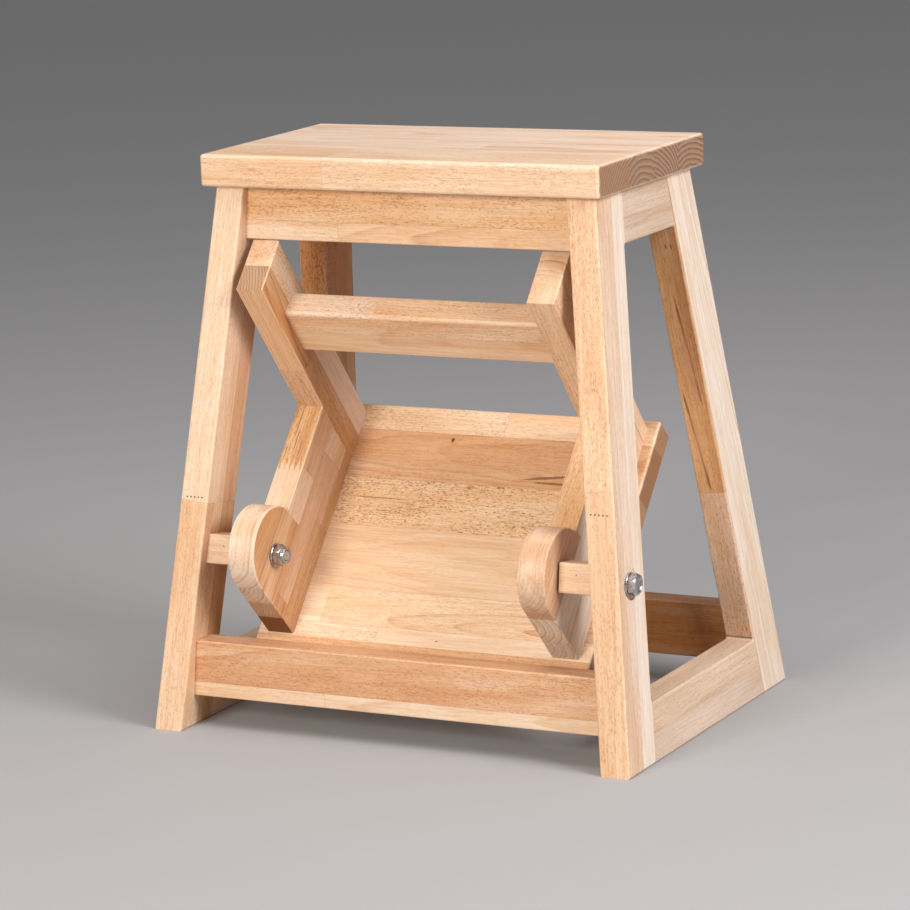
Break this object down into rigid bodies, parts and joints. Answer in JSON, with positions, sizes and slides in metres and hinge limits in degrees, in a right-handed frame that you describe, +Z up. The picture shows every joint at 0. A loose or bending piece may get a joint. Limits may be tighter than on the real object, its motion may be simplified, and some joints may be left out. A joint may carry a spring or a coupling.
{
  "type": "folding step stool",
  "caption": "Beech step stool: a flat seat on two splayed side frames, with a step unit hung on bolts that flips out to the front as a lower step.",
  "frame": {"origin": "on the floor at the centre of the four feet", "axes": "+X to the stool's right-hand side, +Y to the rear, +Z up; drawn folded, with the step unit up under the seat"},
  "size_m": [0.459, 0.334, 0.5],
  "materials": {
    "seat_beech": "fine sanded, oiled",
    "frame_beech": "fine sanded, oiled",
    "step_beech": "fine sanded, oiled",
    "tread_beech": "fine sanded, oiled",
    "dowel_beech": "turned",
    "zinc_steel": "bright zinc plate",
    "nylon": "plain"
  },
  "bodies": {
    "stool_frame": {"seat_board": "seat_beech", "left_front_leg": "frame_beech", "left_rear_leg": "frame_beech", "left_top_rail": "frame_beech", "left_bottom_rail": "frame_beech", "left_pivot_block": "frame_beech", "right_front_leg": "frame_beech", "right_rear_leg": "frame_beech", "right_top_rail": "frame_beech", "right_bottom_rail": "frame_beech", "right_pivot_block": "frame_beech", "front_apron": "frame_beech", "rear_apron": "frame_beech", "front_bottom_rail": "frame_beech", "rear_bottom_rail": "frame_beech", "left_pivot_bolt": "zinc_steel", "right_pivot_bolt": "zinc_steel", "left_lock_nut": "zinc_steel", "right_lock_nut": "zinc_steel", "left_nut_insert": "nylon", "right_nut_insert": "nylon", "head_washers": "zinc_steel", "spacer_washers": "zinc_steel", "nut_washers": "zinc_steel", "side_frame_dowels": "dowel_beech", "cross_rail_dowels": "dowel_beech", "seat_dowels": "dowel_beech"},
    "step_unit": {"left_bracket": "step_beech", "left_step_leg": "step_beech", "right_bracket": "step_beech", "right_step_leg": "step_beech", "step_board": "tread_beech", "step_stretcher": "step_beech", "stretcher_dowels": "dowel_beech", "bracket_dowels": "dowel_beech", "board_dowels": "dowel_beech"}
  },
  "joints": [
    {"name": "step_fold", "type": "hinge", "parent": "stool_frame", "child": "step_unit", "pos_m": [0, -0.12, 0.154], "axis": [1, 0, 0], "range_deg": [0, 131.5]}
  ]
}
